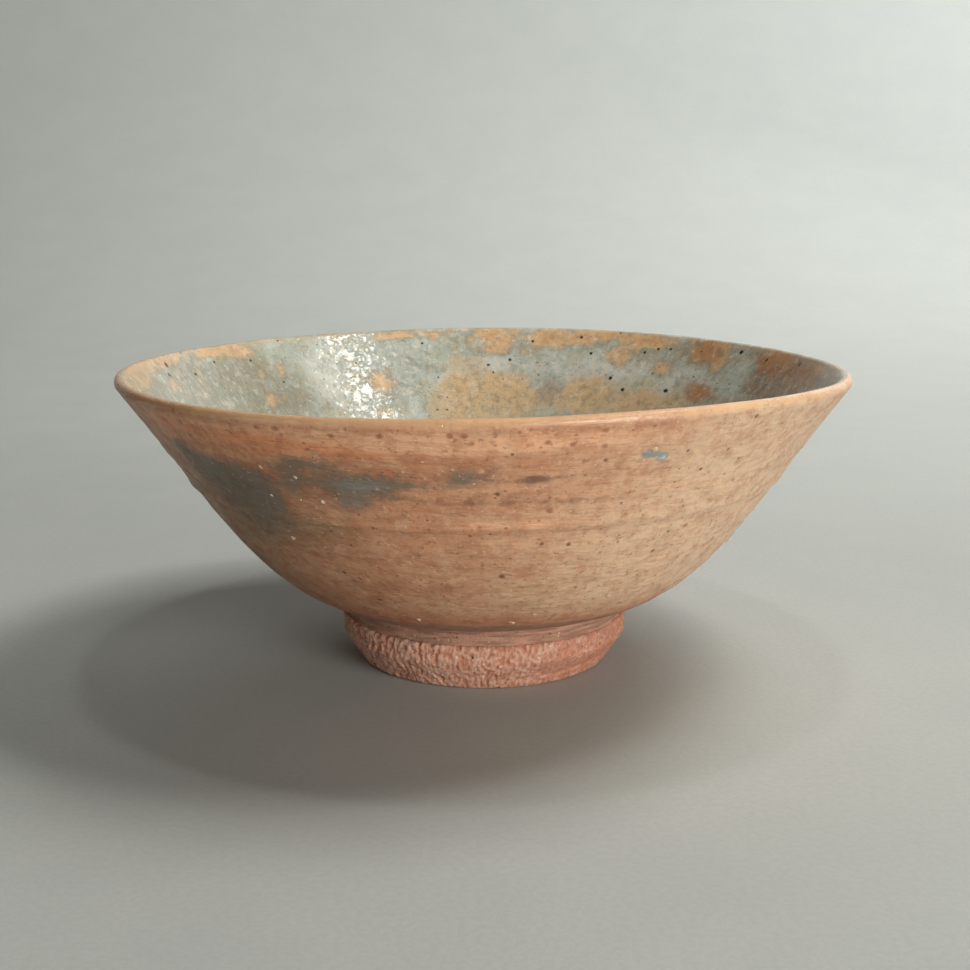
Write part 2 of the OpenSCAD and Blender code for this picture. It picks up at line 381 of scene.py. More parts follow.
wellPaint = {
    "ochre": [(-176, 60.4, 7, 2.6, 1), (-160, 60.8, 9, 2.2, 1), (166, 61.4, 9, 1.4, 1.1),
        (152.5, 61.5, 5, 1.3, 1.1), (145, 60.9, 5, 1.9, 1.2), (179, 61, 8, 2.5, 1.1),
        (169, 56.7, 2.6, 1.9, 0.9), (142, 55.1, 2.2, 1.4, 0.75), (136.8, 55.8, 1.6, 2, 0.8),
        (142.2, 49.1, 4, 2, 0.9), (114, 50.7, 4, 3.2, 0.95), (108, 61.5, 8, 1.1, 1),
        (100.2, 60.9, 2.2, 1.4, 0.9), (88, 60.7, 6.8, 2.4, 1.25), (88.2, 57.4, 3.4, 1.4, 0.8),
        (70, 60.2, 6, 2.2, 0.9), (57, 59.8, 6, 2.2, 0.85), (76.8, 60.3, 4, 2.5, 1.15),
        (81, 56.8, 2.2, 0.9, 0.7), (64.8, 61.6, 7, 1.2, 1.1), (61.3, 56.7, 3.5, 2.1, 1.1),
        (49.8, 55.3, 4, 1.8, 0.9), (53.5, 61.2, 6, 1.2, 1), (40.5, 60.1, 7, 2.8, 1.2),
        (37, 56.8, 2.4, 1.6, 0.8), (21.8, 60.7, 9, 2.2, 1.1), (38, 51.2, 4.4, 1.8, 0.8),
        (5, 60.8, 8, 1.6, 0.9), (-20, 61.1, 12, 1.5, 1), (-60, 60.9, 14, 1.6, 0.9),
        (-105, 60.7, 16, 2.2, 1), (-150, 61.1, 12, 1.8, 1), (-35, 54.5, 5, 3, 0.8),
        (-85, 52.5, 6, 3, 0.8), (-130, 54.5, 5, 3, 0.8), (-165, 50.5, 5, 3, 0.7)],
    "tan": [(96, 47.4, 5.5, 6.5, 1), (85, 46, 9, 6.2, 1.1), (66.5, 47.9, 6, 4.6, 1.1),
        (50, 46, 13, 4.4, 1), (20, 42.3, 16, 6, 0.7), (120, 38.3, 16, 6, 0.6), (160, 40.3, 12, 5, 0.5),
        (-40, 40.3, 20, 7, 0.8), (-100, 38.3, 20, 7, 0.7), (-150, 42.3, 14, 6, 0.6),
        (0, 24.3, 18, 6, 0.5), (180, 20.3, 14, 6, 0.5)],
    "mauve": [(74.8, 48, 4, 4, 1), (91, 51.5, 4, 2, 0.5), (103, 52.5, 4, 2.5, 0.4),
        (44, 52.5, 4, 2, 0.5)],
    "ashen": [(168, 53, 12, 8, 1), (152, 50, 11, 9, 0.9), (-172, 57, 14, 7, 0.9), (136, 48, 9, 7, 0.6),
        (145, 57, 8, 4, 0.5), (172, 60, 14, 3, 0.5)],
    "burnt": [(41, 59.8, 6, 3, 1), (22, 60, 9, 2.8, 1.1), (38, 51, 6, 2.2, 1), (8, 59, 10, 3.2, 0.9),
        (26, 49.5, 8, 3, 0.6)],
    # paintedLightAndSheen is painted light: it lightens the right inside wall, and its mark at turn 127 is
    # a painted sheen
    "paintedLightAndSheen": [(62, 54.5, 16, 3.6, 1), (88, 53.8, 10, 2.6, 0.7), (42, 54, 8, 3, 0.7),
        (127, 52, 7, 6, 0.8)],
    # dim is painted shade: the right inside wall darker and browner
    "dim": [(20, 55.5, 11, 6, 1), (3, 54.5, 16, 9, 1.4), (2, 61, 16, 2.6, 1.2),
        (-20, 50.5, 20, 10, 0.8), (36, 46.5, 8, 4, 0.4)],
}
for name, marks in firing.items():
    paint(skin, name, dabs(turns, heights, radii, marks) * outside)
for name, marks in wellPaint.items():
    paint(skin, name, dabs(turns, heights, radii, marks) * (1 - outside))
# the band of ochre glaze along the lip: widest at the left, strongest at the left front
lipBand = {
    "wide": 0.6, "wider": 2.2,         # mm, all round, and more at the wide place
    "wideTurn": -178, "wideSpan": 34,  # degrees
    "from": -20, "to": 190, "fade": 40,      # degrees round the section of the lip
    "least": 0.25, "strongTurn": -115, "strongSpan": 85,
}
lipGap = np.hypot(radii * mm - lipCentre[0], trueSpots[:, 2] - lipCentre[1]) / mm - lipR / mm
wide = bell(turnGap(turns, lipBand["wideTurn"]), lipBand["wideSpan"])
bandWidth = lipBand["wide"] + lipBand["wider"] * wide
bandShown = np.clip((lipAngle - lipBand["from"]) / lipBand["fade"], 0, 1)
bandShown *= np.clip((lipBand["to"] - lipAngle) / lipBand["fade"], 0, 1)
strong = bell(turnGap(turns, lipBand["strongTurn"]), lipBand["strongSpan"])
bandShown *= lipBand["least"] + (1 - lipBand["least"]) * strong
paint(skin, "lip", bell(lipGap, bandWidth) * bandShown)


def splitAtLip(whole):
    # parts the skin along the crest of the lip: the inside becomes its own piece
    openMesh(whole, "FACE")
    bpy.ops.object.mode_set(mode="OBJECT")
    for face in whole.data.polygons:
        face.select = bool(innerSide[list(face.vertices)].all())
    bpy.ops.object.mode_set(mode="EDIT")
    bpy.ops.mesh.separate(type="SELECTED")
    bpy.ops.object.mode_set(mode="OBJECT")
    return whole, [o for o in bpy.context.selected_objects if o is not whole][0]


# a point is on the inside where it lies nearer the inside curve than the outside one
wellRadius = np.interp(trueSpots[:, 2], [along(wellRun, 1 - i / 200)[1] for i in range(201)],
                       [along(wellRun, 1 - i / 200)[0] for i in range(201)])
innerSide = np.where(trueSpots[:, 2] > lipCentre[1], radii * mm < lipCentre[0] + 0.01 * mm,
                     np.abs(radii * mm - wellRadius) < np.abs(radii * mm - wallRadius))
outerCoat, innerCoat = splitAtLip(skin)
outerCoat.name, innerCoat.name = "outerGlazeCoat", "innerGlazeCoat"


def thicken(piece, thick):
    pick(piece)
    wall = piece.modifiers.new("thickness", "SOLIDIFY")
    wall.thickness = thick * mm
    wall.offset = -1
    bpy.ops.object.modifier_apply(modifier=wall.name)


thicken(outerCoat, glazed["coatThick"])
thicken(innerCoat, glazed["wellThick"])
print("coats split:", len(outerCoat.data.polygons), len(innerCoat.data.polygons), "faces")


# the clay under the coats, with the bare neck over the foot
clay = {
    "round": 320,
    "under": 0.12,           # mm that the clay stays clear of the coats
    "bossR": 20.7,           # mm, the part that fills the top of the foot ring
    "hollowZ": 6.5,          # mm, roof of the hollow under the foot
    "swell": 0.8,            # mm that its centre swells down
    "grit": 0.10,            # mm, roughness of the bare clay
    "latheDeep": 0.12,       # mm, turned rings in the hollow
    "lathePitch": 2.4,       # mm between them
}


def bedPoint(run, t, depth):
    # the point of a coat's underside: the visible curve moved into the clay
    ahead = along(run, min(t + 0.002, 1)) - along(run, max(t - 0.002, 0))
    inward = Vector((-ahead[1], ahead[0])).normalized()
    return along(run, t) + inward * depth * mm


def throwClay():
    outerDepth = glazed["coatThick"] + clay["under"]
    innerDepth = glazed["wellThick"] + clay["under"]
    neckR = footR - 0.5 * mm
    steps = 44
    rows = [bedPoint(wallRun, i / steps, outerDepth) for i in range(steps + 1)]
    crown = lipR - (outerDepth + innerDepth) / 2 * mm
    rows += [lipCentre + crown * Vector((math.cos(math.radians(a)), math.sin(math.radians(a))))
             for a in range(-20, 131, 15)]
    rows += [bedPoint(wellRun, i / steps, innerDepth) for i in range(steps + 1)]
    rows[-1] = Vector((0, rows[-1][1]))
    neckEnd = rows[0]
    neck = [Vector((neckR, footZ)), Vector((neckR - 0.4 * mm, footZ + 1.4 * mm)),
            Vector((neckR - 0.1 * mm, footZ + 3.0 * mm)), neckEnd]
    bossR, hollowZ, swell = clay["bossR"] * mm, clay["hollowZ"] * mm, clay["swell"] * mm
    hollow = [Vector((0, hollowZ - swell)), Vector((bossR * 0.45, hollowZ - swell)),
              Vector((bossR * 0.6, hollowZ)), Vector((bossR, hollowZ))]
    runs = [(hollow, 40), straightRun((bossR, hollowZ), (bossR, footZ), 3),
            straightRun((bossR, footZ), (neckR, footZ), 3), (neck, 22)]
    runs += [straightRun(a, b, 1) for a, b in zip(rows, rows[1:])]
    return turnOnWheel(drawOutline("clayBody", runs), clay["round"])


clayBody = throwClay()
claySpots = readPoints(clayBody)
writePoints(clayBody, handThrow(claySpots))
normals = readNormals(clayBody)
bare = (claySpots[:, 2] < glazeZ + 0.2 * mm) & (claySpots[:, 2] > footZ + 0.3 * mm)
under = (claySpots[:, 2] < clay["hollowZ"] * mm + 0.1 * mm)
grit = clay["grit"] * (cloud(claySpots, 0.9, 21) + cloud(claySpots, 2.2, 22))
rings = clay["grit"] * cloud(claySpots, 1.0, 23, (18, 18, 0.6))
ringTurns = np.hypot(claySpots[:, 0], claySpots[:, 1]) / mm / clay["lathePitch"]
lathe = clay["latheDeep"] * np.sin(2 * math.pi * ringTurns)
deep = np.where(bare, grit + rings, 0) + np.where(under, grit + lathe, 0)
writePoints(clayBody, readPoints(clayBody) + normals * (deep * mm)[:, None])
print("clay thrown:", len(claySpots), "points")


# the foot ring: turned coarse, torn clay
foot = {
    "round": 720,
    "baseR": 26.5,           # mm, outside at the table
    "wallThick": 4.8,        # mm at the table
    "edge": 0.9,             # mm, rounding at the table
    "bevel": 0.5,            # mm, at the upper edge
    "cheekZ": 6.3,           # mm, where the lean of the side stops
    "tearHigh": 0.36,        # mm, how far the torn crests stand
    "tearWide": 0.70,        # mm between tears round the foot
    "tearTall": 1.7,         # mm, length of one tear
    "tornTurn": -125,        # degrees, where it is torn most
    "calm": (-45, 22, 3.6, 1.3, 0.75),         # smoother place: turn, span, height, half height, share
    "line": (-50, 34, 2.7, 0.35, 0.30),        # line cut by the tool: the same, then depth in mm
    "chip": (-27, 7, 9.0, 1.1, 0.55),          # chip in the upper edge: the same
    "dents": 0.12,           # mm of slow dents
    "inside": 0.06,          # mm of roughness where the ring faces inwards
    "dark": (60, 60),        # degrees, where the clay fired darker, and how far that reaches
}


def turnFoot():
    edge, bevel = foot["edge"] * mm, foot["bevel"] * mm
    baseR, bossR = foot["baseR"] * mm, clay["bossR"] * mm
    outerEdge = (baseR - edge, edge)
    innerEdge = (baseR - foot["wallThick"] * mm + edge, edge)
    outLow = Vector(outerEdge) + edge * Vector((math.cos(math.radians(-18)), math.sin(math.radians(-18))))
    inLow = Vector(innerEdge) + edge * Vector((math.cos(math.radians(190)), math.sin(math.radians(190))))
    top, shoulder = Vector((footR - bevel, footZ)), Vector((footR, footZ - bevel))
    cheek = Vector((footR - 0.1 * mm, foot["cheekZ"] * mm))
    runs = [
        straightRun((innerEdge[0], 0), (outerEdge[0], 0), 8),
        arcRun(outerEdge, edge, -90, -18, 5),
        straightRun(outLow, cheek, 24),
        straightRun(cheek, shoulder, 12),
        straightRun(shoulder, top, 3),
        straightRun(top, (bossR, footZ), 2),
        straightRun((bossR, footZ), (bossR, clay["hollowZ"] * mm), 2),
        straightRun((bossR, clay["hollowZ"] * mm), inLow, 12),
        arcRun(innerEdge, edge, 190, 270, 5),
    ]
    return turnOnWheel(drawOutline("footRing", runs), foot["round"])


footRing = turnFoot()
footSpots = readPoints(footRing)
normals = readNormals(footRing)
radius = np.hypot(footSpots[:, 0], footSpots[:, 1])
turns, heights = compass(footSpots), footSpots[:, 2] / mm
facing = normals[:, 0] * footSpots[:, 0] / radius + normals[:, 1] * footSpots[:, 1] / radius
shown = np.clip((facing - 0.25) / 0.4, 0, 1)
wrap = np.column_stack([footSpots[:, 0] / radius, footSpots[:, 1] / radius, np.zeros(len(radius))]) * footR
upwards = np.column_stack([radius * 0, radius * 0, footSpots[:, 2]])
tears = cloud(wrap + upwards * foot["tearWide"] / foot["tearTall"], foot["tearWide"], 31)
smallTears = cloud(wrap + upwards * 0.6, 0.62, 32)
crumbs = cloud(footSpots, 0.9, 33)
tearSpread = 0.5 * np.cos(np.radians(turnGap(turns, foot["tornTurn"]))) + 0.5 * cloud(footSpots, 9, 34)
ridges = (0.55 - np.abs(tears)) * 1.6 + (0.4 - np.abs(smallTears)) * 0.7 + crumbs * 0.7


def footMark(name):
    # how strongly one of the marks above shows at each point
    turn, span, height, halfHeight, strength = foot[name]
    return strength * bell(turnGap(turns, turn), span) * bell(heights - height, halfHeight)


torn = np.clip(0.75 + tearSpread, 0.25, 1.3) * (1 - footMark("calm"))
turn, span, height, halfHeight, depth = foot["line"]
climbing = heights - height - 0.02 * (turns + 60)      # the line climbs a little round the foot
latheLine = -depth * bell(climbing, halfHeight) * bell(turnGap(turns, turn), span)
deep = shown * (foot["tearHigh"] * torn * ridges + latheLine - footMark("chip")
                + foot["dents"] * cloud(footSpots, 6, 35))
deep += (1 - shown) * foot["inside"] * cloud(footSpots, 1.2, 36) * (heights > 0.05)
deep *= np.clip(heights / 0.8, 0, 1)                   # the face on the table stays flat
writePoints(footRing, footSpots + normals * (deep * mm)[:, None])
paint(footRing, "shade", bell(turnGap(turns, foot["dark"][0]), foot["dark"][1]))
paint(footRing, "crest", np.clip(shown * ridges * torn * 0.5 + 0.5, 0, 1))
print("foot turned:", len(footSpots), "points")


# stones in the clay
def stoneCentres():
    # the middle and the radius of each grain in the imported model
    pick(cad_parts["stone_grains"])
    bpy.ops.object.duplicate()
    openMesh(bpy.context.object)
    bpy.ops.mesh.remove_doubles(threshold=0.002 * mm)
    bpy.ops.mesh.separate(type="LOOSE")
    bpy.ops.object.mode_set(mode="OBJECT")
    found = []
    for loose in list(bpy.context.selected_objects):
        corners = readPoints(loose)
        middle = (corners.min(0) + corners.max(0)) / 2
        found.append((middle, (corners.max(0) - corners.min(0)).max() / 2))
        bpy.data.objects.remove(loose)
    return sorted(found, key=lambda g: tuple(g[0]))


# shares of a grain's radius, with the size of its lumps in radii and of its roughness in mm
stoneShape = {"uneven": 0.34, "lumpSize": 1.3, "rough": 0.12, "roughSize": 0.3}


def makeStones():
    stones = []
    for number, (middle, radius) in enumerate(stoneCentres()):
        place = handThrow(middle[None, :])[0]
        nothingSelected()
        bpy.ops.mesh.primitive_ico_sphere_add(subdivisions=4, radius=radius, location=(0, 0, 0))
        stone = bpy.context.object
        corners = readPoints(stone)
        wide = 1 + stoneShape["uneven"] * cloud(corners, radius / mm * stoneShape["lumpSize"], 40 + number)
        wide += stoneShape["rough"] * cloud(corners, stoneShape["roughSize"], 60 + number)
        writePoints(stone, corners * wide[:, None] + place)
        bpy.ops.object.shade_smooth()
        stones.append(stone)
    nothingSelected()
    for stone in stones:
        stone.select_set(True)
    bpy.context.view_layer.objects.active = stones[0]
    bpy.ops.object.join()
    return bpy.context.object


stones = makeStones()
stones.name = "stoneGrains"
print("stones set:", len(stones.data.polygons), "faces")


# floor and card
card = {"wide": 3.0, "front": -1.2, "bendAt": 0.5, "bend": 0.7, "high": 1.6}


def hangCard():
    runs = [straightRun((card["front"], 0), (card["bendAt"], 0), 4),
            arcRun((card["bendAt"], card["bend"]), card["bend"], -90, 0, 48),
            straightRun((card["bendAt"] + card["bend"], card["bend"]),
                        (card["bendAt"] + card["bend"], card["high"]), 2)]
    sheet = drawOutline("paleCard", runs)
    openMesh(sheet)
    bpy.ops.mesh.remove_doubles(threshold=0.1 * mm)
    bpy.ops.transform.rotate(value=-math.pi / 2, orient_axis="Z", center_override=(0, 0, 0))
    bpy.ops.transform.translate(value=(-card["wide"] / 2, 0, 0))
    bpy.ops.mesh.extrude_region_move(TRANSFORM_OT_translate={"value": (card["wide"], 0, 0)})
    bpy.ops.mesh.select_all(action="SELECT")
    bpy.ops.mesh.normals_make_consistent(inside=True)
    bpy.ops.object.mode_set(mode="OBJECT")
    bpy.ops.object.shade_smooth()
    return sheet


paleCard = hangCard()

# light: the key and the far box stay out of reflections, so the small boxes make the highlights
unseenInShine = ("topBox", "farBox")
studio = {
    # turn and height in degrees, distance and size in metres, power in watts, colour
    "topBox": (23, 61, 0.80, 0.32, 3.9, "#FFFEFB"),
    "glintBox": (-2, 63, 0.80, 0.12, 0.9, "#FFFEFB"),
    "sideBox": (-146, 10, 0.85, 0.50, 0.8, "#FFFEFA"),
    "rimBox": (20, 86, 0.80, 0.06, 0.50, "#FFFEFB"),
    "backBox": (60, 30, 0.85, 0.50, 0.6, "#FFFFFF"),
    "lowBox": (-56, 8, 0.85, 0.50, 8.6, "#FFFEFA"),
    "farBox": (100, 48, 0.85, 0.50, 0.5, "#FFFFFF"),
}
# these shine only on the card behind the bowl: place in metres, power in watts, colour
cardLamps = {
    "cardRight": ((0.5, 0.3, 0.9), 9.6, "#FBFFFF"),
    "cardFarRight": ((0.9, 0.5, 0.6), 5.9, "#F8FEFF"),
    "cardLeft": ((-0.5, 0.3, 0.9), 2.3, "#FFFFF4"),
}
lamps = []
for name, (turn, up, far, size, power, tint) in studio.items():
    a, e = math.radians(turn), math.radians(up)
    place = far * Vector((math.cos(a) * math.cos(e), math.sin(a) * math.cos(e), math.sin(e)))
    lamps.append((name, place, -place, size, power, tint))
for name, (place, power, tint) in cardLamps.items():
    lamps.append((name, Vector(place), Vector((0, 1, -0.28)), 0.4, power, tint))
for name, place, aim, size, power, tint in lamps:
    bpy.ops.object.light_add(type="AREA", location=place, rotation=aim.to_track_quat("-Z", "Y").to_euler())
    lamp = bpy.context.object
    lamp.name = name
    lamp.data.shape = "SQUARE"
    lamp.data.size = size
    lamp.data.energy = power
    lamp.data.color = colour(tint)[:3]
    lamp.visible_camera = False
    lamp.visible_glossy = name not in unseenInShine

# camera
shot = {"lens": 55.67, "sensor": 36.0, "place": (0.0001, -0.3144, 0.1039), "tiltDown": 12.09}
bpy.ops.object.camera_add(location=shot["place"],
                          rotation=(math.radians(90 - shot["tiltDown"]), 0, 0))
camera = bpy.context.object
camera.data.lens = shot["lens"]
camera.data.sensor_width = shot["sensor"]
camera.data.clip_start = 0.01
bpy.context.scene.camera = camera
bpy.context.scene.view_settings.view_transform = "Standard"

# materials: one function adds a node, and every pattern is built with it
softStep = {"interpolation_type": "SMOOTHSTEP"}
speckEdge = 0.35             # share of a speck's radius over which its edge fades
speckWobble = 0.5 * mm       # how far the outline of a placed speck wanders
bareClay = {"Roughness": 0.78, "IOR": 1.45, "Specular IOR Level": 0.35}


def feed(mat, node, inputs):
    for key, value in inputs.items():
        if isinstance(value, bpy.types.NodeSocket):
            mat.node_tree.links.new(value, node.inputs[key])
        else:
            node.inputs[key].default_value = value
    return node


def add(mat, kind, inputs=None, **settings):
    # a node with its settings, and its inputs by name or number: each a value or another node's output
    node = mat.node_tree.nodes.new("ShaderNode" + kind)
    for name, value in settings.items():
        setattr(node, name, value)
    return feed(mat, node, inputs or {})


def startMaterial(name):
    mat = bpy.data.materials.new(name)
    mat.use_nodes = True
    return mat, mat.node_tree.nodes["Principled BSDF"], add(mat, "TexCoord").outputs["Object"]


def lumps(mat, at, size, low, high, detail=4.0, stretch=None, rough=0.6):
    # soft-edged lumps about size millimetres across. A stretch widens them along x, y or z.
    if stretch:
        at = add(mat, "Mapping", {"Vector": at, "Scale": [1 / s for s in stretch]}).outputs["Vector"]
    field = add(mat, "TexNoise", {"Vector": at, "Scale": 1000 / size, "Detail": detail, "Roughness": rough})
    return add(mat, "MapRange", {"Value": field.outputs["Fac"], "From Min": low, "From Max": high},
               **softStep).outputs["Result"]


def patches(mat, at, name, size, ragged, low, high):
    # a painted attribute broken up by lumps of the given size, so that its edge is crisp and uneven
    painted = add(mat, "Attribute", attribute_name=name).outputs["Fac"]
    field = add(mat, "TexNoise", {"Vector": at, "Scale": 1000 / size, "Detail": 8.0, "Roughness": 0.72})
    broken = add(mat, "Math", {0: field.outputs["Fac"], 1: ragged, 2: painted}, operation="MULTIPLY_ADD")
    return add(mat, "MapRange", {"Value": broken.outputs[0], "From Min": low + ragged / 2,
                                 "From Max": high + ragged / 2}, **softStep).outputs["Result"]


def scatter(mat, at, spacing, radius, share):
    # small round specks: one to a cell of the given spacing in mm, in a share of the cells, of uneven size
    cells = add(mat, "TexVoronoi", {"Vector": at, "Scale": 1000 / spacing})
    kept = add(mat, "SeparateColor", {"Color": cells.outputs["Color"]}).outputs[0]
    reach = add(mat, "MapRange", {"Value": kept, "From Min": 1 - share, "To Max": radius / spacing},
                **softStep).outputs["Result"]
    gap = add(mat, "Math", {0: reach, 1: cells.outputs["Distance"]}, operation="SUBTRACT").outputs[0]
    return add(mat, "MapRange", {"Value": gap, "From Max": speckEdge * radius / spacing},
               **softStep).outputs["Result"]


def placed(mat, at, marks, inside=False):
    # specks at chosen places: turn in degrees, height and radius in mm
    wobble = add(mat, "TexNoise", {"Vector": at, "Scale": 1100.0, "Detail": 2.0}).outputs["Color"]
    nudged = add(mat, "VectorMath", {0: wobble, 1: (speckWobble,) * 3, 2: at},
                 operation="MULTIPLY_ADD").outputs[0]
    total = None
    for turn, height, radius in marks:
        spot = handThrow(np.array([wallSpot(turn, height, inside)]))[0] + speckWobble / 2
        gap = add(mat, "VectorMath", {0: nudged, 1: spot}, operation="DISTANCE").outputs["Value"]
        mark = add(mat, "MapRange", {"Value": gap, "From Min": 1.25 * radius * mm,
                                     "From Max": speckEdge * radius * mm}, **softStep).outputs["Result"]
        if total:
            mark = add(mat, "Math", {0: total, 1: mark}, operation="MAXIMUM").outputs[0]
        total = mark
    return total


def layered(mat, look, first, layers):
    # colours of a look laid over one another, each through its mask and at its share of full strength
    base = colour(look[first])
    for mask, share, name in layers:
        if share < 1:
            mask = add(mat, "Math", {0: mask, 1: share}, operation="MULTIPLY").outputs[0]
        base = add(mat, "Mix", {0: mask, 6: base, 7: colour(look[name])}, data_type="RGBA").outputs[2]
    return base


def finished(mat, shader, inputs, relief, raised, deep, strength):
    # ends a material with the relief of its skin, deep mm: a height, and others added at their shares
    for field, share in raised:
        relief = add(mat, "Math", {0: field, 1: share, 2: relief}, operation="MULTIPLY_ADD").outputs[0]
    bump = add(mat, "Bump", {"Height": relief, "Distance": deep * mm, "Strength": strength})
    feed(mat, shader, {"Normal": bump.outputs["Normal"], **inputs})
    return mat


def aroundWall(mat, at):
    # a place on the wall as it unrolls: the direction round the bowl, and the height. It has no seam.
    flat = add(mat, "VectorMath", {0: at, 1: (1, 1, 0)}, operation="MULTIPLY").outputs[0]
    outward = add(mat, "VectorMath", {0: flat}, operation="NORMALIZE").outputs[0]
    scaled = add(mat, "VectorMath", {0: outward, "Scale": rimR}, operation="SCALE").outputs[0]
    rise = add(mat, "VectorMath", {0: at, 1: (0, 0, 1)}, operation="MULTIPLY").outputs[0]
    return add(mat, "VectorMath", {0: scaled, 1: rise}, operation="ADD").outputs[0]


# Thin wood-ash glaze over stoneware clay that is rich in iron, fired with smoke on one side.
# The eye sees a satin orange-tan skin with turning lines, rusty and olive clouds and blue-grey smoke.
outerLook = {
    "orange": "#C58E6B", "rust": "#A2603E", "sandy": "#D4B393", "olive": "#7A6A4E", "smoke": "#6C6C60",
    "smokeHeart": "#82857F", "smokeEdge": "#453E33", "lowClay": "#C0714D", "lineShade": "#96694B",
    "lineLight": "#E2BC97", "iron": "#4A2E22", "rustSpot": "#8A4C33", "grain": "#E2C09C",
    "lip": "#D9AF83", "neckEdge": "#94705C", "bloomAndRidgeHighlight": "#E6AD86", "ember": "#DC8A5C",
    "darkMarksAndRidgeShadow": "#6B4A3A", "blister": "#848A87", "blisterHighlight": "#C9CDCB",
    "ironSpots": [(-75.4, 37.5, 0.55), (-80.2, 38.0, 0.5), (-89, 40.4, 0.35), (-119, 30, 0.5),
                  (-86.7, 31.2, 0.7), (-114, 24, 0.55), (-56.6, 33.8, 0.5), (-50.8, 60.0, 0.55),
                  (-55.9, 50.5, 0.45), (-52.4, 54.0, 0.4), (-108.4, 41.4, 0.45), (-73.1, 54.2, 0.5),
                  (-60.3, 54.6, 0.3), (-88.1, 48.7, 0.5)],
    "rustSpots": [(-103.5, 59.8, 0.7), (-94.4, 60.0, 0.75), (-92.5, 59.9, 0.7), (-91.6, 58.5, 0.6),
                  (-81.8, 58.2, 0.7), (-78.4, 57.8, 0.7), (-73.9, 57.0, 0.7), (-110.1, 59.6, 0.7),
                  (-118.1, 60.3, 0.8), (-121.1, 60.3, 0.7), (-79.9, 44.8, 0.8), (-51.8, 38.5, 0.7),
                  (-74.4, 60.0, 0.7), (-85.6, 60.3, 0.6), (-136.9, 56.5, 0.7)],
}


